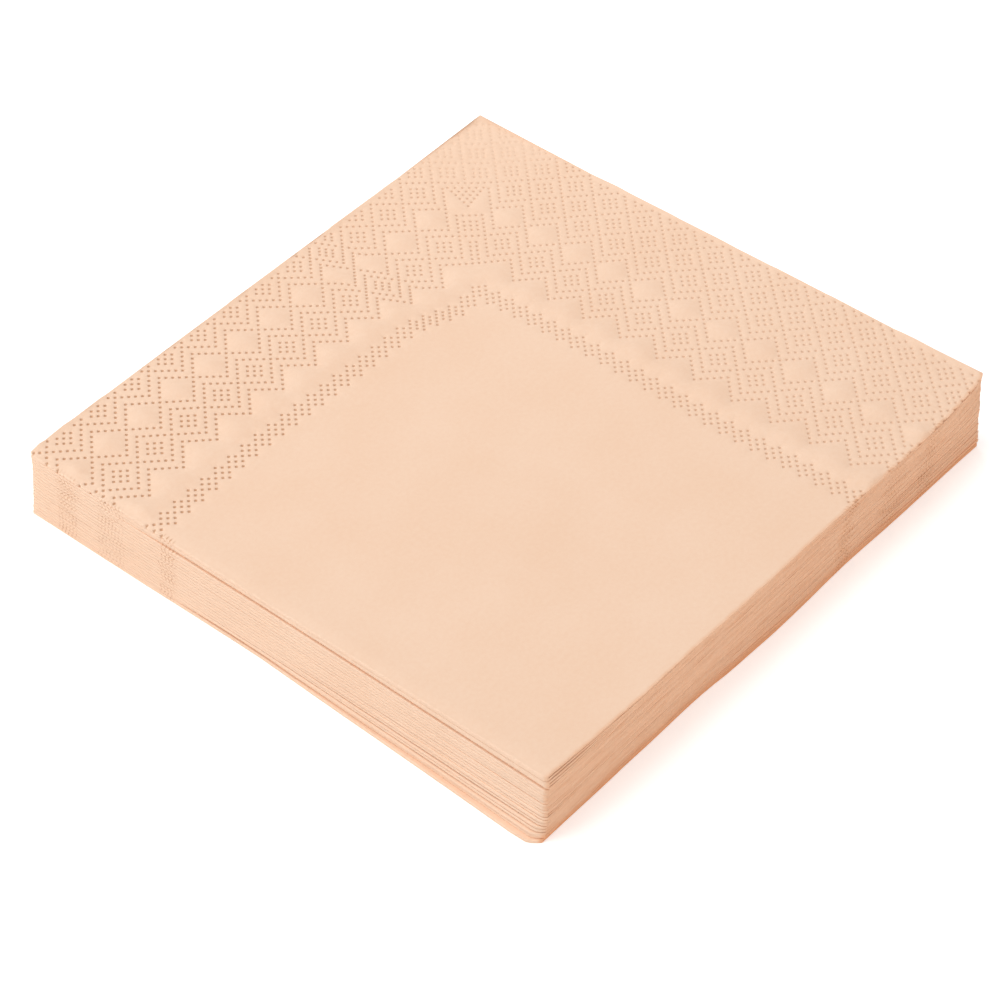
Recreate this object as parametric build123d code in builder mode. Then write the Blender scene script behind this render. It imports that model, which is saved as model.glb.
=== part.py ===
"""Stack of paper napkins, each folded in quarters, with an embossed border on the top one."""

import os
from math import cos, radians, sin, sqrt

from build123d import *

os.makedirs("parts", exist_ok=True)

# Folded napkin: X runs from the second fold to one open edge, Y from the first folds to the other
folded_length = 165.0
folded_width = 157.0
napkin_count = 20

# One tissue leaf, and the air left inside the first and the second fold
leaf_thickness = 0.2
first_fold_gap = 0.1
second_fold_gap = 0.1

# How unevenly the napkins lie: slip and turn of each, and how far the lowest one leans out
slip = 0.35
turn_degrees = 0.2
lean = 1.0

# Embossed border: lines of dots on a lattice at 45 degrees to the edges, pressed in as grooves
dot_spacing = 1.59
groove_width = 0.9
groove_depth = 0.08
border_margin = 1.2
lattice_from_length_edge = 3.5
lattice_from_width_edge = -7.5

# Border rows, counted in dot spacings along the mitre from the lattice's own corner
tiled_depth = 17
cell = 5
row_gap = 1.5
patch = 2
inner_band = 43

pair_height = 2 * leaf_thickness + first_fold_gap
napkin_height = 2 * pair_height + second_fold_gap
fold_radius = napkin_height / 2
fold_x = fold_radius - folded_length / 2
first_fold_y = -folded_width / 2
open_x = folded_length / 2
open_y = folded_width / 2
line = groove_width / dot_spacing


def inside(along, across, side):
    """Whether a square of the lattice lies on the flat of the napkin, clear of its edges and folds."""
    reach = side * dot_spacing / sqrt(2) + border_margin
    from_width_edge = lattice_from_width_edge + dot_spacing * (along + across) / sqrt(2)
    from_length_edge = lattice_from_length_edge + dot_spacing * (along - across) / sqrt(2)
    fits_width = reach <= from_width_edge <= folded_width - reach
    return fits_width and reach <= from_length_edge <= folded_length - reach


def both_sides(squares, side):
    """The squares that fit on the napkin, on both sides of the mitre, in millimetres."""
    mirrored = squares + [(along, -across) for along, across in squares]
    kept = [(along, across) for along, across in mirrored if inside(along, across, side)]
    return [(along * dot_spacing, across * dot_spacing) for along, across in kept]


# Rows of the border, outwards in: dotted tiles, plain cells, dotted teeth, a zigzag and a band of links
steps = range(int(sqrt(2) * (folded_length + folded_width) / (patch * dot_spacing)))
plain_start = tiled_depth + row_gap + cell / 2
tooth_start = plain_start + cell + row_gap
zigzag_start = tooth_start + cell / 2 + row_gap
plain_half = cell - row_gap
tooth_half = cell - 2 * row_gap
zigzag_half = cell - 3 * row_gap
tiles = []
for column in steps:
    tiles += [(tiled_depth + cell * (column - row - 0.5), cell * (column + 0.5)) for row in steps]
plains = [(plain_start + cell * (k + 1), plain_half + cell * (k + 0.5)) for k in steps]
teeth = [(tooth_start + cell * (k + 1), tooth_half + cell * (k + 0.5)) for k in steps]
zig = [(zigzag_start + cell * (k + 0.5), zigzag_half + cell * k) for k in steps]
zag = [(zigzag_start + cell * (k + 1), zigzag_half + cell * (k + 0.5)) for k in steps]
links = [(inner_band + patch * k, patch * k) for k in steps[1:]]
plain_corner = (plain_start * dot_spacing, 0)
tooth_corner = (tooth_start * dot_spacing, 0)
dotted_cells = both_sides(tiles, cell) + both_sides(teeth, cell)
all_cells = dotted_cells + both_sides(plains, cell)
outer_side = (cell + line) * dot_spacing
inner_side = (cell - line) * dot_spacing
patch_side = (patch + line) * dot_spacing
plain_corner_width = 2 * plain_half * dot_spacing
tooth_corner_width = 2 * tooth_half * dot_spacing

# Folded sheet: one pair of leaves pressed at its first fold, carried round the second fold onto a second pair
with BuildPart() as folded_sheet:
    with BuildSketch(Plane.YZ.offset(fold_x)) as leaf_pair:
        with BuildLine():
            Polyline(
                (open_y, 0),
                (first_fold_y, 0),
                (first_fold_y, pair_height),
                (open_y, pair_height),
                (open_y, pair_height - leaf_thickness),
                (first_fold_y + leaf_thickness, pair_height - leaf_thickness),
                (first_fold_y + leaf_thickness, leaf_thickness),
                (open_y, leaf_thickness),
                close=True,
            )
        make_face()
    extrude(amount=open_x - fold_x)
    revolve(leaf_pair.sketch.faces(), axis=Axis((fold_x, 0, fold_radius), (0, 1, 0)), revolution_arc=90)
    mirror(about=Plane.XY.offset(fold_radius))

# Grooves of the embossed border, drawn with X along the mitre
with BuildSketch() as border:
    with Locations(*all_cells):
        Rectangle(outer_side, outer_side)
    with Locations(plain_corner):
        Rectangle(outer_side, plain_corner_width + groove_width)
    with Locations(tooth_corner):
        Rectangle(outer_side, tooth_corner_width + groove_width)
    with Locations(*all_cells):
        Rectangle(inner_side, inner_side, mode=Mode.SUBTRACT)
    with Locations(plain_corner):
        Rectangle(inner_side, plain_corner_width - groove_width, mode=Mode.SUBTRACT)
    with Locations(tooth_corner):
        Rectangle(inner_side, tooth_corner_width - groove_width, mode=Mode.SUBTRACT)
    with Locations(*dotted_cells, tooth_corner):
        Rectangle(patch_side, patch_side)
    with Locations(*both_sides(zig, cell)):
        Rectangle(outer_side, groove_width)
    with Locations(*both_sides(zag, cell)):
        Rectangle(groove_width, outer_side)
    with Locations(*both_sides(links, patch), (inner_band * dot_spacing, 0)):
        Rectangle(patch_side, patch_side)

# Top napkin's face, with the border's mitre running in from its open corner
with BuildPart() as embossed_sheet:
    add(folded_sheet.part)
    lattice_corner = (open_x - lattice_from_length_edge, open_y - lattice_from_width_edge, napkin_height)
    with BuildSketch(Plane(lattice_corner, x_dir=(-1, -1, 0), z_dir=(0, 0, 1))):
        add(border.sketch)
    extrude(amount=-groove_depth, mode=Mode.SUBTRACT)

# Napkins from the bottom of the stack to the top, each slipped and turned a little on the one below
for level in range(napkin_count):
    depth = 1 - level / napkin_count
    turn = radians(turn_degrees) * sin(2.6 * level)
    slip_x = slip * sin(1.9 * level) - lean * depth
    slip_y = slip * cos(3.1 * level) + lean * depth
    seat = Plane((slip_x, slip_y, napkin_height * level), x_dir=(cos(turn), sin(turn), 0), z_dir=(0, 0, 1))
    on_top = level == napkin_count - 1
    with BuildPart(seat) as napkin:
        add(embossed_sheet.part if on_top else folded_sheet.part)
    napkin.part.label = f"napkin_{level + 1:02d}"
    export_step(napkin.part, f"parts/napkin_{level + 1:02d}.step")
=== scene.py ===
"""Stack of folded paper napkins in peach tissue, with an embossed border on the top one."""

from math import asin, cos, pi, radians, sin, sqrt

import bpy
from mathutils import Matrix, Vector, kdtree
from mathutils.geometry import delaunay_2d_cdt


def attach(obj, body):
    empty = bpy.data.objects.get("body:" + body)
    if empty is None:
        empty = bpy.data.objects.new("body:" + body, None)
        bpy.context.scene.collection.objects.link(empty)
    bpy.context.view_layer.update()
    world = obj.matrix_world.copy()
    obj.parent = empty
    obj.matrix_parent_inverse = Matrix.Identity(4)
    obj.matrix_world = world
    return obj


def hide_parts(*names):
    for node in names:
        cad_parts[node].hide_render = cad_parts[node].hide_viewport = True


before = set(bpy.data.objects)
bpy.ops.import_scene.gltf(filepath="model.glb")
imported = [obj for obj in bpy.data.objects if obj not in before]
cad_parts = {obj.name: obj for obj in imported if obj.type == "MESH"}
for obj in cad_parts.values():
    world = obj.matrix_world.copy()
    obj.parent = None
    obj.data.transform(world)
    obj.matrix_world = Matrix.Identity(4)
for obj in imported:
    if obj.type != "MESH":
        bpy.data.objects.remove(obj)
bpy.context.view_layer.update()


# Tissue of every napkin: creped paper dyed peach, soft plies, matt and a little fluffy.
# The border's dots are pressed in between rollers, which packs the fibres and deepens their colour; their
# colour also carries painted shade of the pits.
def linear(hex_colour):
    """An sRGB hex colour as the linear RGBA that shaders take."""
    parts = [int(hex_colour[place:place + 2], 16) / 255 for place in (0, 2, 4)]
    return [part / 12.92 if part <= 0.04045 else ((part + 0.055) / 1.055) ** 2.4 for part in parts] + [1]


def add_node(tree, kind, inputs=(), **settings):
    """A node with its settings, and its inputs set to values or linked from other nodes."""
    node = tree.nodes.new(kind)
    for name, value in settings.items():
        setattr(node, name, value)
    for socket, value in dict(inputs).items():
        if isinstance(value, bpy.types.Node):
            value = value.outputs[0]
        if isinstance(value, bpy.types.NodeSocket):
            tree.links.new(value, node.inputs[socket])
        else:
            node.inputs[socket].default_value = value
    return node


folded_length = 0.165
folded_width = 0.157
tissue_light = "F7D6BC"
tissue_deep = "F4D0B4"
# Pressed colour: the deeper colour of packed fibres, and painted shade of the dots' pits
pressed_and_pit_shade_colour = "C88E62"
# Fold gap shade colour: painted shade of the fine gaps between the first folds' noses
fold_gap_shade_colour = "EDB993"
# Foot shade colour: painted shade at the foot of the first-fold side
foot_shade_colour = "F0A873"
cloud_size = 0.02
fibre_size = 0.0011
crepe_spacing = 0.0008
crepe_depth = 0.00012
crepe_stretch = 0.25
dot_shade_depth = 0.0002
streak_length = 0.004
streak_height = 0.00045
first_crease_width = 0.0009
second_crease_width = 0.0012
foot_shade_bottom = 0.0005
foot_shade_top = 0.0032
foot_shade_strength = 0.6
notch_spacing = 0.00112
notch_from_length_edge = 0.011
notch_band = 0.06
notch_drift = 0.004
# Waves in a metre of the notches' drift: along, across and up the stack
notch_drift_waves = (12, 12, 700)
# Where the groups of notches begin and end, in shares of their band, with their strength
notch_groups = ((0.10, 0), (0.13, 1), (0.20, 1), (0.23, 0), (0.32, 0), (0.35, 0.7), (0.46, 0.7), (0.49, 0),
                (0.66, 0), (0.68, 1), (0.74, 1), (0.76, 0))

# Creped tissue gives the eye a flat, chalky peach with faint clouds, short fibres and fine crepe ridges.
# Real ridges are too fine to show in the render, so they are drawn 0.8 mm apart.
# Its dots, fold notches, first-fold streaks and the foot of the first-fold side also carry painted shade.
tissue_and_painted_shade = bpy.data.materials.new("dyed creped tissue with painted shade")
tissue_and_painted_shade.use_nodes = True
nodes = tissue_and_painted_shade.node_tree
shader = nodes.nodes["Principled BSDF"]
shader.inputs["Roughness"].default_value = 0.92
shader.inputs["Specular IOR Level"].default_value = 0.25
place = add_node(nodes, "ShaderNodeTexCoord").outputs["Object"]
cloud = add_node(nodes, "ShaderNodeTexNoise", {
    "Vector": place, "Scale": 1 / cloud_size, "Detail": 3, "Roughness": 0.5})
fibre = add_node(nodes, "ShaderNodeTexNoise", {
    "Vector": place, "Scale": 1 / fibre_size, "Detail": 2, "Roughness": 0.6})
mottle = add_node(nodes, "ShaderNodeMath", {0: cloud, 1: fibre}, operation="ADD")
mottled = add_node(nodes, "ShaderNodeMapRange", {"Value": mottle, "From Min": 0.7, "From Max": 1.3})
colour = add_node(nodes, "ShaderNodeMix", {
    0: mottled, 6: linear(tissue_light), 7: linear(tissue_deep)}, data_type="RGBA")

# Creases of the folds, from the flat place: painted shade in streaks along the first folds, for the fine
# gaps between their noses, with notches where the border runs over them
flat_place = add_node(nodes, "ShaderNodeUVMap", uv_map="flat sheet")
flat_sizes = add_node(nodes, "ShaderNodeVectorMath", {
    0: flat_place, 1: (2 * folded_length, 2 * folded_width, 1), 2: (-folded_length, -folded_width, 0)},
    operation="MULTIPLY_ADD")
from_creases = add_node(nodes, "ShaderNodeVectorMath", {0: flat_sizes}, operation="ABSOLUTE")
crease = add_node(nodes, "ShaderNodeSeparateXYZ", {0: from_creases})
streak_place = add_node(nodes, "ShaderNodeMapping", {
    "Vector": place, "Scale": (1 / streak_length, 1 / streak_length, 1 / streak_height)})
streak = add_node(nodes, "ShaderNodeTexNoise", {"Vector": streak_place, "Scale": 1.0, "Detail": 2})
layer_place = add_node(nodes, "ShaderNodeMapping", {"Vector": place, "Scale": notch_drift_waves})
layer_noise = add_node(nodes, "ShaderNodeTexNoise", {"Vector": layer_place, "Scale": 1.0, "Detail": 1})
layer_shift = add_node(nodes, "ShaderNodeMath", {0: layer_noise, 1: notch_drift}, operation="MULTIPLY")
at_creases = []
notches = []
for side, other, half, start, width in (
        ("Y", "X", folded_length, notch_from_length_edge, first_crease_width),
        ("X", "Y", folded_width, 0.0, second_crease_width)):
    at_crease = add_node(nodes, "ShaderNodeMapRange", {
        "Value": crease.outputs[side], "From Min": width / 3, "From Max": width,
        "To Min": 1.0, "To Max": 0.0})
    at_creases.append(at_crease)
    shifted = add_node(nodes, "ShaderNodeMath", {0: crease.outputs[other], 1: layer_shift}, operation="ADD")
    past_edge = add_node(nodes, "ShaderNodeMath", {0: shifted, 1: half - start}, operation="SUBTRACT")
    from_edge = add_node(nodes, "ShaderNodeMath", {0: past_edge, 1: -1.0}, operation="MULTIPLY")
    turns = add_node(nodes, "ShaderNodeMath", {
        0: from_edge, 1: 2 * pi / notch_spacing}, operation="MULTIPLY")
    wave = add_node(nodes, "ShaderNodeMath", {0: turns}, operation="SINE")
    column = add_node(nodes, "ShaderNodeMapRange", {"Value": wave, "From Min": 0.1, "From Max": 0.9})
    band = add_node(nodes, "ShaderNodeMapRange", {
        "Value": from_edge, "From Min": 0.0, "From Max": notch_band})
    groups = add_node(nodes, "ShaderNodeValToRGB", {"Fac": band})
    ramp = groups.color_ramp.elements
    for number, (spot, level) in enumerate(notch_groups):
        mark = ramp[number] if number < 2 else ramp.new(spot)
        mark.position = spot
        mark.color = (level, level, level, 1)
    deep = add_node(nodes, "ShaderNodeMath", {0: column, 1: groups.outputs["Color"]}, operation="MULTIPLY")
    notches.append(add_node(nodes, "ShaderNodeMath", {0: deep, 1: at_crease}, operation="MULTIPLY"))
# Painted shade in streaks along the first folds
streak_dark = add_node(nodes, "ShaderNodeMapRange", {
    "Value": streak, "From Min": 0.35, "From Max": 0.65, "To Min": 0.3, "To Max": 0.65})
streak_share = add_node(nodes, "ShaderNodeMath", {0: at_creases[0], 1: streak_dark}, operation="MULTIPLY")
# Painted shade at the foot of the first-fold side: a deep orange, strongest at the bottom napkin and gone a
# few millimetres up
height_place = add_node(nodes, "ShaderNodeSeparateXYZ", {0: place})
at_bottom = add_node(nodes, "ShaderNodeMapRange", {
    "Value": height_place.outputs["Z"], "From Min": foot_shade_bottom, "From Max": foot_shade_top,
    "To Min": foot_shade_strength, "To Max": 0.0})
foot_shade_share = add_node(nodes, "ShaderNodeMath", {0: at_creases[0], 1: at_bottom}, operation="MULTIPLY")
# Notches where the border crosses a fold take the pressed colour: partly packed fibres, partly painted shade
# of notch pits, which have no geometry
notch = add_node(nodes, "ShaderNodeMath", {0: notches[0], 1: notches[1]}, operation="MAXIMUM")
notch_fade = add_node(nodes, "ShaderNodeMapRange", {
    "Value": streak, "From Min": 0.4, "From Max": 0.62, "To Min": 0.08, "To Max": 0.7})
notch_share = add_node(nodes, "ShaderNodeMath", {0: notch, 1: notch_fade}, operation="MULTIPLY")

# Pressed dots of the border, from the attribute that the embossing leaves on the sheet: their colour is
# partly packed fibres and partly painted shade of the pits
pressed = add_node(nodes, "ShaderNodeAttribute", attribute_name="pressed")
dot = add_node(nodes, "ShaderNodeMapRange", {
    "Value": pressed.outputs["Fac"], "From Min": 0.18, "From Max": 0.7}, interpolation_type="SMOOTHSTEP")
# Mixes in the painted fold-gap shade, the painted foot shade, and the pressed colour with painted pit shade
# at notches and dots
for share, tint in ((streak_share, fold_gap_shade_colour), (foot_shade_share, foot_shade_colour),
                    (notch_share, pressed_and_pit_shade_colour), (dot, pressed_and_pit_shade_colour)):
    colour = add_node(nodes, "ShaderNodeMix", {
        0: share, 6: colour.outputs[2], 7: linear(tint)}, data_type="RGBA")
nodes.links.new(colour.outputs[2], shader.inputs["Base Color"])
stretched = add_node(nodes, "ShaderNodeMapping", {"Vector": place, "Scale": (crepe_stretch, 1, 1)})
crepe = add_node(nodes, "ShaderNodeTexNoise", {
    "Vector": stretched, "Scale": 1 / crepe_spacing, "Detail": 2, "Roughness": 0.55})
crepe_relief = add_node(nodes, "ShaderNodeBump", {
    "Height": crepe, "Strength": 0.35, "Distance": crepe_depth})
dot_relief = add_node(nodes, "ShaderNodeBump", {
    "Height": dot, "Strength": 1.0, "Distance": dot_shade_depth, "Normal": crepe_relief}, invert=True)
nodes.links.new(dot_relief.outputs[0], shader.inputs["Normal"])


# Lower napkins: nearly square sheets, folded in half and in half again by machine, with pressed creases.
# Each one only lies on the napkin below, so edges slip and waver by fractions of a millimetre.
napkin_count = 20
napkin_height = 0.0011
paper = 0.0002
first_fold_radius = 0.00017
second_fold_radius = 0.000275
fold_squareness = 0.28
sharp_edge = radians(60)
fold_line_heights = (0.0, 0.6, 0.85, 0.94, 0.975, 0.992, 0.999, 1.0)
lines_beyond_fold = [0.0009, 0.0018, 0.003]


def sheet_lines(radius, half, line_step):
    """Flat distances from a crease at which a sheet has lines of points: close over the fold, then even."""
    side = [radius * asin(height ** (1 / fold_squareness)) for height in fold_line_heights]
    side += lines_beyond_fold
    count = round((half - side[-1]) / line_step)
    step = (half - side[-1]) / count
    return side + [side[-1] + step * (number + 1) for number in range(count - 1)] + [half]


def flat_sheet(name, points, faces):
    """A flat sheet's mesh, in metres, with its flat place as its map."""
    mesh = bpy.data.meshes.new(name)
    mesh.from_pydata([(along, across, 0) for along, across in points], [], faces)
    flat_map = mesh.uv_layers.new(name="flat sheet")
    corners = [points[loop.vertex_index] for loop in mesh.loops]
    spread = [(0.5 + along / folded_length / 2, 0.5 + across / folded_width / 2)
              for along, across in corners]
    flat_map.data.foreach_set("uv", [value for pair in spread for value in pair])
    return mesh


def fold_round(tree, distance, radius, squareness):
    """Nodes that carry a flat distance from a crease round its fold: how far it comes up, out and along."""
    turned = add_node(tree, "ShaderNodeMath", {0: distance, 1: radius}, operation="DIVIDE")
    angle = add_node(tree, "ShaderNodeClamp", {"Value": turned, "Min": -pi / 2, "Max": pi / 2})
    sine = add_node(tree, "ShaderNodeMath", {0: angle}, operation="SINE")
    side = add_node(tree, "ShaderNodeMath", {0: sine}, operation="SIGN")
    height = add_node(tree, "ShaderNodeMath", {0: sine}, operation="ABSOLUTE")
    squared_height = add_node(tree, "ShaderNodeMath", {0: height, 1: squareness}, operation="POWER")
    up = add_node(tree, "ShaderNodeMath", {0: squared_height, 1: side}, operation="MULTIPLY")
    cosine = add_node(tree, "ShaderNodeMath", {0: angle}, operation="COSINE")
    reach = add_node(tree, "ShaderNodeMath", {0: cosine, 1: 0.0}, operation="MAXIMUM")
    out = add_node(tree, "ShaderNodeMath", {0: reach, 1: squareness}, operation="POWER")
    far = add_node(tree, "ShaderNodeMath", {0: distance}, operation="ABSOLUTE")
    past = add_node(tree, "ShaderNodeMath", {0: radius, 1: -pi / 2, 2: far}, operation="MULTIPLY_ADD")
    along = add_node(tree, "ShaderNodeMath", {0: past, 1: 0.0}, operation="MAXIMUM")
    return up, out, along


def new_tree(name, sizes):
    """A geometry tree with named inputs at those starting sizes, and its group input node."""
    tree = bpy.data.node_groups.new(name, "GeometryNodeTree")
    tree.interface.new_socket("Sheet", in_out="OUTPUT", socket_type="NodeSocketGeometry")
    tree.interface.new_socket("Sheet", in_out="INPUT", socket_type="NodeSocketGeometry")
    for label, start in sizes.items():
        kind = "NodeSocketFloat" if isinstance(start, float) else "NodeSocketVector"
        kind = kind if start is not None else "NodeSocketObject"
        kind = "NodeSocketMaterial" if isinstance(start, bpy.types.Material) else kind
        socket = tree.interface.new_socket(label, in_out="INPUT", socket_type=kind)
        if start is not None:
            socket.default_value = start
    return tree, add_node(tree, "NodeGroupInput").outputs


def close_tree(tree, geometry, material):
    """The end of a tree: smooth, real geometry in its material."""
    smooth = add_node(tree, "GeometryNodeSetShadeSmooth", {"Geometry": geometry})
    real = add_node(tree, "GeometryNodeRealizeInstances", {"Geometry": smooth})
    dressed = add_node(tree, "GeometryNodeSetMaterial", {"Geometry": real, "Material": material})
    add_node(tree, "NodeGroupOutput", {"Sheet": dressed})


folds, size = new_tree("quarter fold", {
    "Folded length": folded_length, "Folded width": folded_width, "Napkin height": napkin_height,
    "First fold radius": first_fold_radius, "Second fold radius": second_fold_radius,
    "Fold squareness": fold_squareness, "Level": 0.0, "Levels": float(napkin_count), "Slip": (0.0, 0.0, 0.0),
    "Second fold waver": 0.0004, "First fold waver": 0.0014, "Waver length": 0.03, "Waver seed": 0.0,
    "Leaf waver": 0.003, "Fine waver": 0.00005, "Fine waver length": 0.009, "Fine waver seed": 3.3,
    "Fan": 0.0, "Draw": 0.0, "Skew": 0.0, "Forward": 0.0, "Ripple": 0.0, "Front start": 0.03,
    "Bulge": 0.0026, "Bulge power": 1.5, "Splay": 0.0, "Corner round": 0.0008, "Corner depth": 0.6,
    "Far corner round": 0.0008, "Far corner reach": 0.003, "Far corner length": 0.02,
    "Sag": 0.0016, "Sag width": 0.03, "Sag peak": 0.9, "Swell": 0.0004, "Swell length": 0.05,
    "Swell seed": 0.4, "Swell levels": 4.0, "Slack": 0.0, "Slack end": 0.03, "Slack fade": 0.03,
    "Slack depth": 0.006, "Parting": 0.0, "Parting length": 0.03, "Parting seed": 3.7, "Shoulder": 0.0003,
    "Shoulder width": 0.0025, "Shoulder power": 8.0, "Tissue": tissue_and_painted_shade})
flat = add_node(folds, "ShaderNodeSeparateXYZ", {0: add_node(folds, "GeometryNodeInputPosition")})

# First fold: across the sheet, along X
across_up, across_out, across_run = fold_round(
    folds, flat.outputs["Y"], size["First fold radius"], size["Fold squareness"])
bent = add_node(folds, "ShaderNodeMath", {
    0: size["First fold radius"], 1: flat.outputs["Z"]}, operation="ADD")
leaf_rise = add_node(folds, "ShaderNodeMath", {0: bent, 1: across_up}, operation="MULTIPLY")
across_nose = add_node(folds, "ShaderNodeMath", {0: bent, 1: across_out}, operation="MULTIPLY")
across_in = add_node(folds, "ShaderNodeMath", {0: across_run, 1: across_nose}, operation="SUBTRACT")
across_set = add_node(folds, "ShaderNodeMath", {
    0: across_in, 1: size["First fold radius"]}, operation="ADD")
across_place = add_node(folds, "ShaderNodeMath", {
    0: size["Folded width"], 1: -0.5, 2: across_set}, operation="MULTIPLY_ADD")

# Second fold: both leaves together, along Y
along_up, along_out, along_run = fold_round(
    folds, flat.outputs["X"], size["Second fold radius"], size["Fold squareness"])
pair_bend = add_node(folds, "ShaderNodeMath", {
    0: size["Second fold radius"], 1: leaf_rise}, operation="ADD")
local_height = add_node(folds, "ShaderNodeMath", {0: pair_bend, 1: along_up}, operation="MULTIPLY")
along_nose = add_node(folds, "ShaderNodeMath", {0: pair_bend, 1: along_out}, operation="MULTIPLY")
outer_bend = add_node(folds, "ShaderNodeMath", {
    0: size["Second fold radius"], 1: size["First fold radius"]}, operation="ADD")
along_in = add_node(folds, "ShaderNodeMath", {0: along_run, 1: along_nose}, operation="SUBTRACT")
along_set = add_node(folds, "ShaderNodeMath", {0: along_in, 1: outer_bend}, operation="ADD")
along_place = add_node(folds, "ShaderNodeMath", {
    0: size["Folded length"], 1: -0.5, 2: along_set}, operation="MULTIPLY_ADD")

# Corners of the second fold: rounded at the first fold and at the open end
level_height = add_node(folds, "ShaderNodeMath", {
    0: local_height, 1: size["Napkin height"]}, operation="DIVIDE")
part_height = add_node(folds, "ShaderNodeMath", {0: level_height, 1: 0.5}, operation="ADD")
stack_height = add_node(folds, "ShaderNodeMath", {0: size["Level"], 1: part_height}, operation="ADD")
height_share = add_node(folds, "ShaderNodeMath", {
    0: stack_height, 1: size["Levels"]}, operation="DIVIDE")
bulge_share = add_node(folds, "ShaderNodeMath", {
    0: height_share, 1: size["Bulge power"]}, operation="POWER")
from_first = add_node(folds, "ShaderNodeMath", {
    0: size["Folded width"], 1: 0.5, 2: across_place}, operation="MULTIPLY_ADD")
round_part = add_node(folds, "ShaderNodeMapRange", {
    "Value": from_first, "From Min": 0.0, "From Max": size["Corner round"], "To Min": 1.0, "To Max": 0.0})
round_curve = add_node(folds, "ShaderNodeMath", {0: round_part, 1: 2.0}, operation="POWER")
round_size = add_node(folds, "ShaderNodeMath", {
    0: size["Corner round"], 1: size["Corner depth"]}, operation="MULTIPLY")
rounded_along = add_node(folds, "ShaderNodeMath", {
    0: round_curve, 1: round_size, 2: along_place}, operation="MULTIPLY_ADD")
from_open = add_node(folds, "ShaderNodeMath", {
    0: size["Folded width"], 1: from_first}, operation="SUBTRACT")
far_part = add_node(folds, "ShaderNodeMapRange", {
    "Value": from_open, "From Min": 0.0, "From Max": size["Far corner reach"], "To Min": 1.0, "To Max": 0.0})
far_curve = add_node(folds, "ShaderNodeMath", {0: far_part, 1: 2.0}, operation="POWER")
from_second = add_node(folds, "ShaderNodeMath", {
    0: size["Folded length"], 1: 0.5, 2: along_place}, operation="MULTIPLY_ADD")
by_second = add_node(folds, "ShaderNodeMapRange", {
    "Value": from_second, "From Min": 0.0, "From Max": size["Far corner length"],
    "To Min": size["Far corner round"], "To Max": 0.0})
far_along = add_node(folds, "ShaderNodeMath", {
    0: far_curve, 1: by_second, 2: rounded_along}, operation="MULTIPLY_ADD")
folded = add_node(folds, "ShaderNodeCombineXYZ", {"X": far_along, "Y": across_place})

# Edges waver, each leaf a little differently, and the napkin slips on its seat
leaf_shift = add_node(folds, "ShaderNodeMath", {
    0: across_up, 1: 0.25, 2: along_up}, operation="MULTIPLY_ADD")
leaf_turn = add_node(folds, "ShaderNodeMath", {
    0: leaf_shift, 1: size["Leaf waver"]}, operation="MULTIPLY")
waver_seed = add_node(folds, "ShaderNodeMath", {0: size["Waver seed"], 1: leaf_turn}, operation="ADD")
fine_seed = add_node(folds, "ShaderNodeMath", {
    0: size["Level"], 1: size["Fine waver seed"], 2: leaf_shift}, operation="MULTIPLY_ADD")
front_share = add_node(folds, "ShaderNodeMath", {
    0: across_place, 1: size["Folded width"]}, operation="DIVIDE")
side_share = add_node(folds, "ShaderNodeMath", {
    0: along_place, 1: size["Folded length"]}, operation="DIVIDE")
front_ramp = add_node(folds, "ShaderNodeMapRange", {
    "Value": front_share, "From Min": size["Front start"], "From Max": -0.5, "To Min": 0.0, "To Max": 1.0})
front_waver = add_node(folds, "ShaderNodeMath", {
    0: front_ramp, 1: size["First fold waver"]}, operation="MULTIPLY")
wavered = folded
for seed, length, reaches in ((waver_seed, "Waver length", (size["Second fold waver"], front_waver)),
                              (fine_seed, "Fine waver length", (size["Fine waver"], size["Fine waver"]))):
    waver_scale = add_node(folds, "ShaderNodeMath", {0: 1.0, 1: size[length]}, operation="DIVIDE")
    waver = add_node(folds, "ShaderNodeTexNoise", {
        "Vector": folded, "W": seed, "Scale": waver_scale, "Detail": 2, "Roughness": 0.45},
        noise_dimensions="4D")
    swing = add_node(folds, "ShaderNodeVectorMath", {
        0: waver.outputs["Color"], 1: (0.5, 0.5, 0.5)}, operation="SUBTRACT")
    reach = add_node(folds, "ShaderNodeCombineXYZ", {"X": reaches[0], "Y": reaches[1]})
    wavered = add_node(folds, "ShaderNodeVectorMath", {
        0: swing, 1: reach, 2: wavered}, operation="MULTIPLY_ADD")
slipped = add_node(folds, "ShaderNodeVectorMath", {0: wavered, 1: size["Slip"]}, operation="ADD")

# Shift along X: the second fold fans out or draws back towards the front corner, and the open edges splay
fan_share = add_node(folds, "ShaderNodeMath", {0: front_ramp, 1: size["Fan"]}, operation="MULTIPLY")
slack_start = add_node(folds, "ShaderNodeMath", {
    0: size["Slack end"], 1: size["Slack fade"]}, operation="SUBTRACT")
loose = add_node(folds, "ShaderNodeMapRange", {
    "Value": across_place, "From Min": slack_start, "From Max": size["Slack end"], "To Min": 1.0,
    "To Max": 0.0}, interpolation_type="SMOOTHSTEP")
fold_side = add_node(folds, "ShaderNodeMapRange", {
    "Value": side_share, "From Min": -0.5, "From Max": -0.2, "To Min": 1.0, "To Max": 0.0})
draw_size = add_node(folds, "ShaderNodeMath", {0: fold_side, 1: size["Draw"]}, operation="MULTIPLY")
drawn = add_node(folds, "ShaderNodeMath", {0: loose, 1: draw_size}, operation="MULTIPLY")
drawn_or_fanned = add_node(folds, "ShaderNodeMath", {0: drawn, 1: fan_share}, operation="SUBTRACT")
open_share = add_node(folds, "ShaderNodeMath", {0: side_share, 1: 0.5}, operation="ADD")
near_share = add_node(folds, "ShaderNodeMath", {0: 0.5, 1: front_share}, operation="SUBTRACT")
splay_share = add_node(folds, "ShaderNodeMath", {0: open_share, 1: near_share}, operation="MULTIPLY")
shift_along = add_node(folds, "ShaderNodeMath", {
    0: splay_share, 1: size["Splay"], 2: drawn_or_fanned}, operation="MULTIPLY_ADD")

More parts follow.
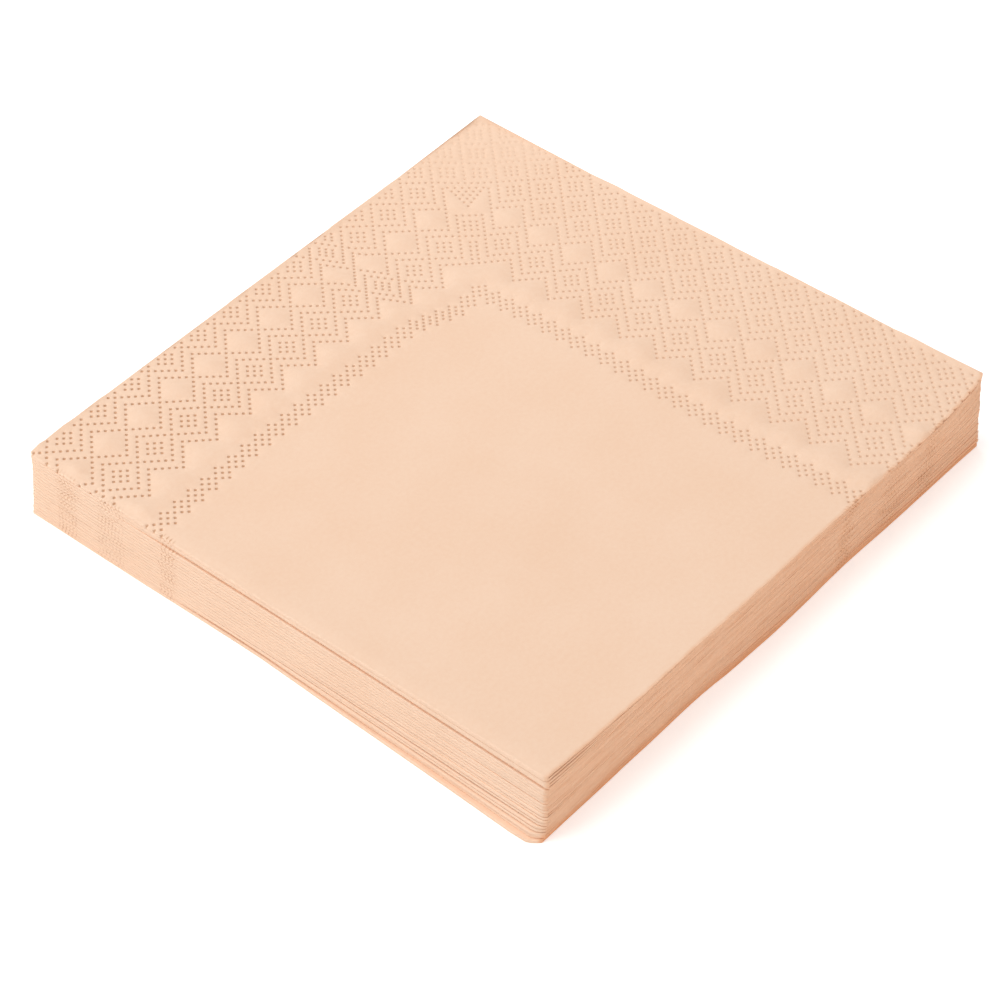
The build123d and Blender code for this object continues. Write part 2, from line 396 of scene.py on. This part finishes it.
# Shift along Y: the first folds bulge high in the stack, and ripple and come forward low in it.
# The bulge and the ripple are given at shares of the folded length, from the second fold.
bulge_marks = ((0.0, 0.0), (0.06, 0.3), (0.12, 0.45), (0.3, 0.62), (0.5, 0.68), (0.7, 0.8), (0.87, 1.0),
               (0.94, 0.75), (1.0, 0.0))
ripple_marks = ((0.0, 0.8), (0.04, 0.8), (0.12, 0.5), (0.21, 0.17), (0.31, 0.0), (0.4, 0.62), (0.49, 0.8),
                (0.59, 0.43), (0.68, 0.05), (0.77, 0.38), (0.87, 0.5), (1.0, 0.5))
fold_lines = []
for marks in (bulge_marks, ripple_marks):
    fold_line = add_node(folds, "ShaderNodeFloatCurve", {"Value": open_share})
    line_points = fold_line.mapping.curves[0].points
    for number, (spot, level) in enumerate(marks):
        mark = line_points[number] if number < 2 else line_points.new(spot, level)
        mark.location = (spot, level)
    fold_line.mapping.update()
    fold_lines.append(fold_line)
bulge_ramp = add_node(folds, "ShaderNodeMath", {0: front_ramp, 1: fold_lines[0]}, operation="MULTIPLY")
bulge_size = add_node(folds, "ShaderNodeMath", {0: bulge_share, 1: size["Bulge"]}, operation="MULTIPLY")
bulged = add_node(folds, "ShaderNodeMath", {0: bulge_ramp, 1: bulge_size}, operation="MULTIPLY")
skewed = add_node(folds, "ShaderNodeMath", {0: side_share, 1: size["Skew"]}, operation="MULTIPLY")
closed_share = add_node(folds, "ShaderNodeMath", {0: 1.0, 1: open_share}, operation="SUBTRACT")
forward_share = add_node(folds, "ShaderNodeMath", {
    0: front_ramp, 1: closed_share}, operation="MULTIPLY")
brought = add_node(folds, "ShaderNodeMath", {
    0: forward_share, 1: size["Forward"], 2: bulged}, operation="MULTIPLY_ADD")
ripple_about = add_node(folds, "ShaderNodeMath", {0: fold_lines[1], 1: 0.5}, operation="SUBTRACT")
ripple_ramp = add_node(folds, "ShaderNodeMath", {0: ripple_about, 1: front_ramp}, operation="MULTIPLY")
rippled = add_node(folds, "ShaderNodeMath", {
    0: ripple_ramp, 1: size["Ripple"], 2: brought}, operation="MULTIPLY_ADD")
shift_across = add_node(folds, "ShaderNodeMath", {0: skewed, 1: rippled}, operation="SUBTRACT")
shift = add_node(folds, "ShaderNodeCombineXYZ", {"X": shift_along, "Y": shift_across})
laid = add_node(folds, "ShaderNodeVectorMath", {0: slipped, 1: shift}, operation="ADD")
seat = add_node(folds, "ShaderNodeSeparateXYZ", {0: laid})

# Seat of this napkin and of the next: even steps that swell here and there, and drop at the shoulder
from_fold = add_node(folds, "ShaderNodeMath", {
    0: size["Folded length"], 1: 0.5, 2: seat.outputs["X"]}, operation="MULTIPLY_ADD")
at_fold, at_sag, at_slack = [add_node(folds, "ShaderNodeMapRange", {
    "Value": from_fold, "From Min": 0.0, "From Max": size[width], "To Min": 1.0, "To Max": 0.0},
    interpolation_type="SMOOTHSTEP") for width in ("Shoulder width", "Sag width", "Slack depth")]
sag_ramp = add_node(folds, "ShaderNodeMath", {0: at_sag, 1: front_ramp}, operation="MULTIPLY")
sag = add_node(folds, "ShaderNodeMath", {0: sag_ramp, 1: size["Sag"]}, operation="MULTIPLY")
swell_scale = add_node(folds, "ShaderNodeMath", {0: 1.0, 1: size["Swell length"]}, operation="DIVIDE")
seats = []
for step in (0.0, 1.0):
    rank = add_node(folds, "ShaderNodeMath", {0: size["Level"], 1: step}, operation="ADD")
    share = add_node(folds, "ShaderNodeMath", {0: rank, 1: size["Levels"]}, operation="DIVIDE")
    flat_seat = add_node(folds, "ShaderNodeMath", {
        0: rank, 1: size["Napkin height"]}, operation="MULTIPLY")
    swell_seed = add_node(folds, "ShaderNodeMath", {0: rank, 1: size["Swell seed"]}, operation="MULTIPLY")
    swell = add_node(folds, "ShaderNodeTexNoise", {
        "Vector": laid, "W": swell_seed, "Scale": swell_scale, "Detail": 1}, noise_dimensions="4D")
    swell_about = add_node(folds, "ShaderNodeMath", {0: swell, 1: 0.5}, operation="SUBTRACT")
    swell_share = add_node(folds, "ShaderNodeMapRange", {
        "Value": rank, "From Min": 0.0, "From Max": size["Swell levels"]})
    swell_size = add_node(folds, "ShaderNodeMath", {
        0: swell_share, 1: size["Swell"]}, operation="MULTIPLY")
    swollen = add_node(folds, "ShaderNodeMath", {
        0: swell_about, 1: swell_size, 2: flat_seat}, operation="MULTIPLY_ADD")
    top_share = add_node(folds, "ShaderNodeMath", {0: share, 1: size["Shoulder power"]}, operation="POWER")
    shoulder_size = add_node(folds, "ShaderNodeMath", {
        0: top_share, 1: size["Shoulder"]}, operation="MULTIPLY")
    shoulder = add_node(folds, "ShaderNodeMath", {0: at_fold, 1: shoulder_size}, operation="MULTIPLY")
    shouldered = add_node(folds, "ShaderNodeMath", {0: swollen, 1: shoulder}, operation="SUBTRACT")
    below_loose = add_node(folds, "ShaderNodeMapRange", {
        "Value": share, "From Min": 0.0, "From Max": size["Sag peak"]})
    above_loose = add_node(folds, "ShaderNodeMapRange", {
        "Value": share, "From Min": size["Sag peak"], "From Max": 1.0, "To Min": 1.0, "To Max": 0.0})
    sag_share = add_node(folds, "ShaderNodeMath", {0: below_loose, 1: above_loose}, operation="MULTIPLY")
    sunk = add_node(folds, "ShaderNodeMath", {0: sag_share, 1: sag}, operation="MULTIPLY")
    seats.append(add_node(folds, "ShaderNodeMath", {0: shouldered, 1: sunk}, operation="SUBTRACT"))

# Slack of the second fold below the next napkin: where it gapes, and where single folds part
gape = add_node(folds, "ShaderNodeMath", {0: loose, 1: size["Slack"]}, operation="MULTIPLY")
parting_scale = add_node(folds, "ShaderNodeMath", {
    0: 1.0, 1: size["Parting length"]}, operation="DIVIDE")
parting_seed = add_node(folds, "ShaderNodeMath", {
    0: size["Level"], 1: size["Parting seed"]}, operation="MULTIPLY")
parting = add_node(folds, "ShaderNodeTexNoise", {
    "Vector": laid, "W": parting_seed, "Scale": parting_scale, "Detail": 2}, noise_dimensions="4D")
parted = add_node(folds, "ShaderNodeMapRange", {
    "Value": parting, "From Min": 0.48, "From Max": 0.7, "To Min": 0.0, "To Max": size["Parting"]})
loosened = add_node(folds, "ShaderNodeMath", {0: parted, 1: gape}, operation="ADD")
slack = add_node(folds, "ShaderNodeMath", {0: loosened, 1: at_slack}, operation="MULTIPLY")
ceiling = add_node(folds, "ShaderNodeMath", {0: seats[1], 1: slack}, operation="SUBTRACT")
room = add_node(folds, "ShaderNodeMath", {0: ceiling, 1: seats[0]}, operation="SUBTRACT")
height = add_node(folds, "ShaderNodeMath", {
    0: part_height, 1: room, 2: seats[0]}, operation="MULTIPLY_ADD")
spot = add_node(folds, "ShaderNodeCombineXYZ", {
    "X": seat.outputs["X"], "Y": seat.outputs["Y"], "Z": height})
folded_sheet = add_node(folds, "GeometryNodeSetPosition", {"Geometry": size["Sheet"], "Position": spot})
close_tree(folds, folded_sheet, size["Tissue"])


def make_napkin(name, mesh, trees):
    """A napkin folded from its flat sheet by those trees and given its thickness, as a plain mesh."""
    napkin = bpy.data.objects.new(name, mesh)
    bpy.context.collection.objects.link(napkin)
    for tree, sizes in trees:
        step = napkin.modifiers.new(tree.name, "NODES")
        step.node_group = tree
        names = {item.name: item.identifier for item in tree.interface.items_tree if item.in_out == "INPUT"}
        for label, value in sizes.items():
            step[names[label]] = value
    thickness = napkin.modifiers.new("thickness", "SOLIDIFY")
    thickness.thickness = paper
    thickness.offset = 0
    bpy.context.view_layer.update()
    finished = bpy.data.meshes.new_from_object(napkin.evaluated_get(bpy.context.evaluated_depsgraph_get()))
    finished.name = name
    napkin.modifiers.clear()
    napkin.data = finished
    finished.set_sharp_from_angle(angle=sharp_edge)
    return napkin


# Napkins, counted from 0 at the bottom, whose second fold is loose towards the front corner:
# how far it gapes and draws back, and where that starts, in millimetres
loose_folds = {1: (0.2, 0.5, 45), 2: (0.15, 0.05, 25), 3: (0.15, 0.2, 15), 4: (0.2, 0.05, 5),
               5: (0.15, 0.2, 10), 7: (0.2, 0.15, -10), 9: (0.1, 0.12, -30), 12: (0.15, 0.2, -35),
               17: (0.3, 0.55, 55)}
parting_levels = range(1, 14)
loose_parting = 0.00012
bottom_skew = -0.004
bottom_forward = 0.0014
bottom_ripple = 0.0008
bottom_fan = 0.0033
bottom_lip = 0.0002
bottom_setback = 0.0005
bottom_splay = 0.0002
top_splay = 0.0009
corner_round = 0.0008
bottom_corner_round = 0.0034
far_corner_round = 0.0007
slip = 0.00002
slip_turn_along = 2.6
slip_turn_across = 3.1
waver_seed_step = 0.008

line_step = 0.0042
half_length_lines = sheet_lines(second_fold_radius, folded_length, line_step)
half_width_lines = sheet_lines(first_fold_radius, folded_width, line_step)
length_lines = [-line for line in half_length_lines[:0:-1]] + half_length_lines
width_lines = [-line for line in half_width_lines[:0:-1]] + half_width_lines
row = len(width_lines)
grid_points = [(along, across) for along in length_lines for across in width_lines]
grid_faces = [(start + step, start + step + row, start + step + row + 1, start + step + 1)
              for start in range(0, row * (len(length_lines) - 1), row) for step in range(row - 1)]


def stack_sizes(level):
    """How a napkin lies: the lower in the stack, the more it skews, ripples and fans out at the front."""
    depth = 1 - level / (napkin_count - 1)
    gape, draw, start = loose_folds.get(level, (0.0, 0.0, 0.0))
    slip_along = bottom_setback * depth ** 2 + slip * sin(slip_turn_along * level)
    return {"Level": float(level), "Slip": (slip_along, slip * cos(slip_turn_across * level), 0.0),
            "Skew": bottom_skew * depth ** 2, "Fan": bottom_fan * depth ** 4 + (0 if level else bottom_lip),
            "Forward": bottom_forward * depth ** 2, "Ripple": bottom_ripple * depth ** 4,
            "Splay": top_splay + (bottom_splay - top_splay) * depth,
            "Slack": gape / 1000, "Draw": draw / 1000, "Slack end": start / 1000,
            "Far corner round": far_corner_round * (1 - depth),
            "Corner round": corner_round + bottom_corner_round * depth ** 4,
            "Parting": loose_parting if level in parting_levels else 0.0,
            "Waver seed": waver_seed_step * level}


def declare_napkin(napkin, level):
    """Attaches a napkin to the stack's body and hides its part from the imported model."""
    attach(napkin, "root")
    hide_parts(f"napkin_{level + 1:02d}")


for level in range(napkin_count - 1):
    sheet = flat_sheet(f"sheet_{level + 1:02d}", grid_points, grid_faces)
    lower_napkin = make_napkin(f"folded_napkin_{level + 1:02d}", sheet, [(folds, stack_sizes(level))])
    declare_napkin(lower_napkin, level)


# Top napkin: the same folded sheet, whose embossed border shows.
# Dots stand on a lattice at 45 degrees to the edges, and the paper puffs up between their lines.
dot_spacing = 0.00159
dot_radius = 0.0007
dot_depth = 0.00034
lattice_from_length_edge = 0.0035
lattice_from_width_edge = -0.0075
cell = 5
half_cell = cell / 2
cells_along = 32
rows_outward = 64
chain_links = 80
# Places on the lattice, in dots: away from the open corner along its diagonal, and to the side of that
edge_row_start = 17
open_row_start = (26, 6)
inner_row_start = (32.5, 4.5)
zigzag_start = (31.5, 0.5)
chain_start = 43
corner_patch = 27.5
corner_bars = (18.5, 3.5)
# Small triangle of dots near the open corner: its start, its rows and the steps between rows and dots
triangle_start = 18.2
triangle_rows = 6
triangle_row_step = 0.9
triangle_dot_step = 1.1


def outline_dots(along, across, half_along, half_across):
    """Lattice places of the dots round a rectangle's outline."""
    columns = [along - half_along + step for step in range(round(2 * half_along) + 1)]
    rows = [across - half_across + step for step in range(round(2 * half_across) + 1)]
    ends = [(columns[end], place) for place in rows for end in (0, -1)]
    return ends + [(place, rows[end]) for place in columns for end in (0, -1)]


def patch_dots(along, across):
    """Lattice places of a square patch of nine dots."""
    return [(along + step, across + side) for step in (-1, 0, 1) for side in (-1, 0, 1)]


lattice = []
for column in range(cells_along):
    for row_in in range(rows_outward):
        along = edge_row_start + cell * (column - row_in - 0.5)
        across = cell * (column + 0.5)
        lattice += outline_dots(along, across, half_cell, half_cell) + patch_dots(along, across)
    run = cell * column
    lattice += outline_dots(open_row_start[0] + run, open_row_start[1] + run, half_cell, half_cell)
    along, across = inner_row_start[0] + run, inner_row_start[1] + run
    lattice += outline_dots(along, across, half_cell, half_cell) + patch_dots(along, across)
    along, across = zigzag_start[0] + run, zigzag_start[1] + run
    lattice += [(along + step, across) for step in range(cell)]
    lattice += [(along + cell, across + step) for step in range(cell)]
for link in range(chain_links):
    lattice += patch_dots(chain_start + 2 * link, 2 * link)
lattice += outline_dots(corner_patch, 0, half_cell, 2) + patch_dots(corner_patch, 0)
lattice += [(corner_bars[0] + step, side * corner_bars[1]) for step in range(cell) for side in (-1, 1)]
for row_in in range(triangle_rows):
    row_dots = triangle_rows - row_in
    row_place = triangle_start + triangle_row_step * row_in
    lattice += [(row_place, triangle_dot_step * (step - (row_dots - 1) / 2)) for step in range(row_dots)]
mirrored = {(round(along, 2), round(sign * across, 2)) for along, across in lattice for sign in (1, -1)}

# Drift of the border from its register, in millimetres, at places along the two bands from the open corner
length_band_drift = ((0, -0.8, -3.4), (42, -0.6, -2.4), (60, -1.0, -2.4), (76, 2.9, 2.2), (130, 2.4, 3.3),
                     (165, 0.3, 2.0))
width_band_drift = ((0, -0.8, -3.6), (30, -0.7, -3.2), (72, -0.3, -2.5), (110, -0.2, -2.5),
                    (157, 0.2, -2.6))
# Stretch of the bands to each side of a line: where that line lies, and how much along and across
length_stretch_line = 0.14
length_stretch_along = 0.035
length_stretch_across = 0.07
width_stretch_line = 0.15
width_stretch_along = 0.05
width_stretch_end = 0.0885
width_stretch_fade = 0.05
width_stretch_least = 0.25
bands_meet_over = 8
edge_margin = 0.0006
first_fold_margin = 0.0004


def drift(table, place):
    """The border's drift at a place along a band, eased between the places given."""
    for (start, start_along, start_across), (end, end_along, end_across) in zip(table, table[1:]):
        if place <= end:
            part = max(0, (place - start) / (end - start))
            along = start_along + part * (end_along - start_along)
            across = start_across + part * (end_across - start_across)
            return along, across
    return table[-1][1:]


dots = []
for along, across in sorted(mirrored):
    place_along = folded_length - lattice_from_length_edge - dot_spacing * (along - across) / sqrt(2)
    place_across = folded_width - lattice_from_width_edge - dot_spacing * (along + across) / sqrt(2)
    length_share = min(1, max(0, 0.5 - across / bands_meet_over))
    length_drift = drift(length_band_drift, 1000 * (folded_length - place_along))
    width_drift = drift(width_band_drift, 1000 * (folded_width - place_across))
    length_stretch = place_across - length_stretch_line
    stretch_share = min(1, max(width_stretch_least, (width_stretch_end - place_across) / width_stretch_fade))
    width_stretch = stretch_share * (place_along - width_stretch_line)
    place_along += length_share * (length_drift[0] / 1000 + length_stretch_along * length_stretch)
    place_across += length_share * (length_drift[1] / 1000 + length_stretch_across * length_stretch)
    place_along += (1 - length_share) * (width_drift[0] / 1000 + width_stretch_along * width_stretch)
    place_across += (1 - length_share) * width_drift[1] / 1000
    in_length = -edge_margin < place_along < folded_length - edge_margin
    if in_length and -first_fold_margin < place_across < folded_width - edge_margin:
        dots.append((place_along, place_across))

# Flat sheet of the top napkin: rings of points at the dots, even points elsewhere on the shown leaf
rings = ((0.0, 1), (0.5 * dot_radius, 4), (dot_radius, 7))
filler_step = 0.0023
filler_row_share = 0.87
filler_columns = 72
filler_rows = 79
filler_clear = dot_radius * 1.35
fold_zone = 0.0031
fold_half = 0.0005
hidden_step = 0.009
crease_step = 0.0006
border_depth_along = 0.057
border_depth_across = 0.046
merge_distance = 1e-5
near_dots = kdtree.KDTree(len(dots))
for number, (along, across) in enumerate(dots):
    near_dots.insert((along, across, 0), number)
near_dots.balance()
sheet_points = []
for along, across in dots:
    for radius, count in rings:
        turns = [2 * pi * step / count for step in range(count)]
        sheet_points += [(along + radius * cos(turn), across + radius * sin(turn)) for turn in turns]
filler = [(filler_step * (column + 0.5 * (row_in % 2)), filler_step * filler_row_share * row_in)
          for column in range(1, filler_columns) for row_in in range(1, filler_rows)]
for along, across in filler:
    if fold_zone < along < folded_length - edge_margin and fold_zone < across < folded_width - edge_margin:
        if near_dots.find((along, across, 0))[2] > filler_clear:
            sheet_points.append((along, across))

# Lines of points over its folds and on the hidden leaves, closer where the border runs over a fold
top_length_lines = [-line for line in sheet_lines(second_fold_radius, folded_length, hidden_step)[:0:-1]]
top_width_lines = [-line for line in sheet_lines(first_fold_radius, folded_width, hidden_step)[:0:-1]]
top_length_lines += half_length_lines
top_width_lines += half_width_lines
border_along = [folded_length - crease_step * (step + 0.5)
                for step in range(round(border_depth_along / crease_step))]
border_across = [folded_width - crease_step * (step + 0.5)
                 for step in range(round(border_depth_across / crease_step))]
crease_points = {}
for along in top_length_lines:
    for across in top_width_lines:
        edge = along == folded_length or across == folded_width
        if along < fold_zone or across < fold_zone or edge:
            crease_points.setdefault((along, across), len(crease_points))
crease_edges = []
for rows, other, dense, flip in ((top_length_lines, top_width_lines, border_across, False),
                                 (top_width_lines, top_length_lines, border_along, True)):
    for line in rows:
        if line < fold_zone:
            steps = sorted(other + dense) if line > -fold_half else other
            places = [(step, line) if flip else (line, step) for step in steps]
            numbers = [crease_points.setdefault(spot, len(crease_points)) for spot in places]
            crease_edges += list(zip(numbers, numbers[1:]))
sheet_points = list(crease_points) + sheet_points
triangles = delaunay_2d_cdt([Vector((along * 1000, across * 1000)) for along, across in sheet_points],
                            crease_edges, [], 0, merge_distance)
top_points = [(point.x / 1000, point.y / 1000) for point in triangles[0]]
top_sheet = flat_sheet(f"sheet_{napkin_count:02d}", top_points, [tuple(face) for face in triangles[2]])
dot_cloud = bpy.data.meshes.new("border dots")
dot_cloud.from_pydata([(along, across, 0) for along, across in dots], [], [])
dot_points = bpy.data.objects.new("border dots", dot_cloud)
bpy.context.collection.objects.link(dot_points)

# Embossing: pits at the dots, puffs between their lines, and a dot strength that fades towards the open
# corner and changes along the border, kept for the dots' colour with its painted pit shade and for their
# bump
emboss, press = new_tree("embossed border", {
    "Dots": None, "Dot radius": dot_radius, "Dot depth": dot_depth, "Puff": 0.0008, "Puff reach": 0.004,
    "Puff end": 0.011, "Border along": 0.11, "Border across": 0.112, "Border fade": 0.005,
    "Clear of second fold": 0.003, "Clear of first fold": 0.0012,
    "Open corner": (folded_length, folded_width, 0.0), "Faint corner": 0.03, "Faint corner start": 0.008,
    "Faint corner share": 0.3, "Far dot strength": 0.81, "Near dot strength": 1.12, "Near dots until": 0.03, "Far dots from": 0.14,
    "Tissue": tissue_and_painted_shade})
dot_source = add_node(emboss, "GeometryNodeObjectInfo", {"Object": press["Dots"]})
nearest = add_node(emboss, "GeometryNodeProximity", {
    0: dot_source.outputs["Geometry"]}, target_element="POINTS")
gap = nearest.outputs["Distance"]
depth_down = add_node(emboss, "ShaderNodeMath", {0: press["Dot depth"], 1: -1.0}, operation="MULTIPLY")
pit = add_node(emboss, "ShaderNodeMapRange", {
    "Value": gap, "From Min": 0.0, "From Max": press["Dot radius"], "To Min": depth_down, "To Max": 0.0},
    interpolation_type="SMOOTHSTEP")
puff = add_node(emboss, "ShaderNodeMapRange", {
    "Value": gap, "From Min": press["Dot radius"], "From Max": press["Puff reach"], "To Min": 0.0,
    "To Max": press["Puff"]}, interpolation_type="SMOOTHSTEP")
flat_position = add_node(emboss, "GeometryNodeInputPosition")
flat_spot = add_node(emboss, "ShaderNodeSeparateXYZ", {0: flat_position})
settled = add_node(emboss, "ShaderNodeMapRange", {
    "Value": gap, "From Min": press["Puff reach"], "From Max": press["Puff end"], "To Min": 1.0,
    "To Max": 0.0}, interpolation_type="SMOOTHSTEP")
in_border = []
for side, start in (("X", "Border along"), ("Y", "Border across")):
    border_full = add_node(emboss, "ShaderNodeMath", {
        0: press[start], 1: press["Border fade"]}, operation="ADD")
    in_border.append(add_node(emboss, "ShaderNodeMapRange", {
        "Value": flat_spot.outputs[side], "From Min": press[start], "From Max": border_full},
        interpolation_type="SMOOTHSTEP"))
border = add_node(emboss, "ShaderNodeMath", {0: in_border[0], 1: in_border[1]}, operation="MAXIMUM")
border_puff = add_node(emboss, "ShaderNodeMath", {0: puff, 1: border}, operation="MULTIPLY")
shown = add_node(emboss, "ShaderNodeMath", {0: border_puff, 1: settled}, operation="MULTIPLY")
for side, reach in (("X", "Clear of second fold"), ("Y", "Clear of first fold")):
    clear = add_node(emboss, "ShaderNodeMapRange", {
        "Value": flat_spot.outputs[side], "From Min": 0.0, "From Max": press[reach]},
        interpolation_type="SMOOTHSTEP")
    shown = add_node(emboss, "ShaderNodeMath", {0: shown, 1: clear}, operation="MULTIPLY")
rise = add_node(emboss, "ShaderNodeMath", {0: pit, 1: shown}, operation="ADD")
lift = add_node(emboss, "ShaderNodeCombineXYZ", {"Z": rise})
# Share of a dot's pressed colour and bump: partly packed fibres, partly painted pit shade, fainter towards
# the open corner
dot_centre_share = add_node(emboss, "ShaderNodeMapRange", {
    "Value": gap, "From Min": 0.0, "From Max": press["Dot radius"], "To Min": 1.0, "To Max": 0.0})
from_corner = add_node(emboss, "ShaderNodeVectorMath", {
    0: flat_position, 1: press["Open corner"]}, operation="DISTANCE")
dot_strength_corner = add_node(emboss, "ShaderNodeMapRange", {
    "Value": from_corner.outputs["Value"], "From Min": press["Faint corner start"],
    "From Max": press["Faint corner"], "To Min": press["Faint corner share"], "To Max": 1.0})
dot_strength_along = add_node(emboss, "ShaderNodeMapRange", {
    "Value": flat_spot.outputs["X"], "From Min": press["Near dots until"], "From Max": press["Far dots from"],
    "To Min": press["Near dot strength"], "To Max": press["Far dot strength"]})
dot_strength = add_node(emboss, "ShaderNodeMath", {0: dot_strength_corner, 1: dot_strength_along}, operation="MULTIPLY")
pressed_and_pit_shade_share = add_node(emboss, "ShaderNodeMath", {0: dot_centre_share, 1: dot_strength}, operation="MULTIPLY")
raised = add_node(emboss, "GeometryNodeSetPosition", {"Geometry": press["Sheet"], "Offset": lift})
marked = add_node(emboss, "GeometryNodeStoreNamedAttribute", {
    "Geometry": raised, "Name": "pressed", "Value": pressed_and_pit_shade_share}, data_type="FLOAT", domain="POINT")
close_tree(emboss, marked, press["Tissue"])

top_level = napkin_count - 1
top_waver_seed = 1.3
top_first_fold_waver = 0.0018
top_folds = stack_sizes(top_level)
top_folds["Waver seed"] = top_waver_seed
top_folds["First fold waver"] = top_first_fold_waver
top_napkin = make_napkin(f"folded_napkin_{napkin_count:02d}", top_sheet, [
    (emboss, {"Dots": dot_points}), (folds, top_folds)])
bpy.data.objects.remove(dot_points)
declare_napkin(top_napkin, top_level)


# Floor: a wide plain sheet of white studio paper that the stack lies on.
# The camera sees it as white, and it keeps a faint shadow at the foot of the stack.
def seen_rays(tree):
    """A node that gives 1 to rays that see the floor or surround, and 0 to those that light the stack."""
    path = add_node(tree, "ShaderNodeLightPath")
    seen_or_glossy = add_node(tree, "ShaderNodeMath", {
        0: path.outputs["Is Camera Ray"], 1: path.outputs["Is Glossy Ray"]}, operation="MAXIMUM")
    return add_node(tree, "ShaderNodeMath", {
        0: seen_or_glossy, 1: path.outputs["Is Transmission Ray"]}, operation="MAXIMUM")


floor_half = 3.0
floor_lift = 0.45
floor_corners = [(-floor_half, -floor_half, 0), (floor_half, -floor_half, 0), (floor_half, floor_half, 0),
                 (-floor_half, floor_half, 0)]
floor_mesh = bpy.data.meshes.new("studio floor")
floor_mesh.from_pydata(floor_corners, [], [(0, 1, 2, 3)])
floor = bpy.data.objects.new("studio_floor", floor_mesh)
bpy.context.collection.objects.link(floor)

# Uncoated white paper gives the eye an even white ground without any gloss
white_sheet = bpy.data.materials.new("matt white studio sheet")
white_sheet.use_nodes = True
nodes = white_sheet.node_tree
shader = nodes.nodes["Principled BSDF"]
shader.inputs["Base Color"].default_value = linear("F4F4F4")
shader.inputs["Roughness"].default_value = 1.0
shader.inputs["Specular IOR Level"].default_value = 0.0
shader.inputs["Emission Color"].default_value = linear("FFFFFF")
lift_white = add_node(nodes, "ShaderNodeMath", {0: seen_rays(nodes), 1: floor_lift}, operation="MULTIPLY")
nodes.links.new(lift_white.outputs[0], shader.inputs["Emission Strength"])
floor_mesh.materials.append(white_sheet)


# Studio light: a large soft key nearly overhead, a side light from the left, a warm fill from the front,
# a weak lamp behind the back corner and an even pale surround.
surround_level = 0.45
# Each lamp's direction from the stack, its distance, its level on a surface that faces it, and its colour
lamps = (("soft key", (-0.2, 0.25, 0.95), 4.0, 0.42, "FFFFFF"),
         ("side light", (-0.92, 0.34, 0.25), 1.0, 0.28, "FFFFFF"),
         ("warm fill", (0.1, -0.99, 0.08), 2.0, 0.33, "FFDDBE"),
         ("pale back light", (0.6, 0.62, 0.5), 0.65, 0.19, "FFFFFF"))
world = bpy.data.worlds.new("pale surround")
world.use_nodes = True
bpy.context.scene.world = world
nodes = world.node_tree
surround = nodes.nodes["Background"]
surround.inputs["Color"].default_value = linear("FFFFFF")
strength = add_node(nodes, "ShaderNodeMapRange", {
    "Value": seen_rays(nodes), "To Min": surround_level, "To Max": 1.0})
nodes.links.new(strength.outputs[0], surround.inputs["Strength"])
for lamp_name, direction, distance, level, lamp_colour in lamps:
    lamp_direction = Vector(direction).normalized()
    lamp_data = bpy.data.lights.new(lamp_name, "AREA")
    lamp_data.shape = "DISK"
    lamp_data.size = distance / 2
    lamp_data.color = linear(lamp_colour)[:3]
    lamp_data.energy = level * pi ** 2 * distance ** 2
    lamp = bpy.data.objects.new(lamp_name.replace(" ", "_"), lamp_data)
    lamp.location = lamp_direction * distance
    lamp.rotation_euler = lamp_direction.to_track_quat("Z", "Y").to_euler()
    bpy.context.collection.objects.link(lamp)


# Camera: a long lens above the front corner, at the photograph's angle.
# Its place and its lens were fitted to the corners of the stack there.
view_azimuth = radians(-50.243)
view_elevation = radians(44.6)
view_distance = 0.79786
view_target = Vector((-0.01544, -0.00986, 0.011))
view_back = Vector((sin(view_azimuth) * cos(view_elevation), -cos(view_azimuth) * cos(view_elevation),
                    sin(view_elevation)))
camera_data = bpy.data.cameras.new("long lens")
camera_data.sensor_width = 36
camera_data.lens = 121.51
camera_data.clip_start = 0.01
camera = bpy.data.objects.new("camera", camera_data)
camera.location = view_target + view_back * view_distance
camera.rotation_euler = view_back.to_track_quat("Z", "Y").to_euler()
bpy.context.collection.objects.link(camera)
bpy.context.scene.camera = camera
bpy.context.scene.view_settings.view_transform = "Standard"
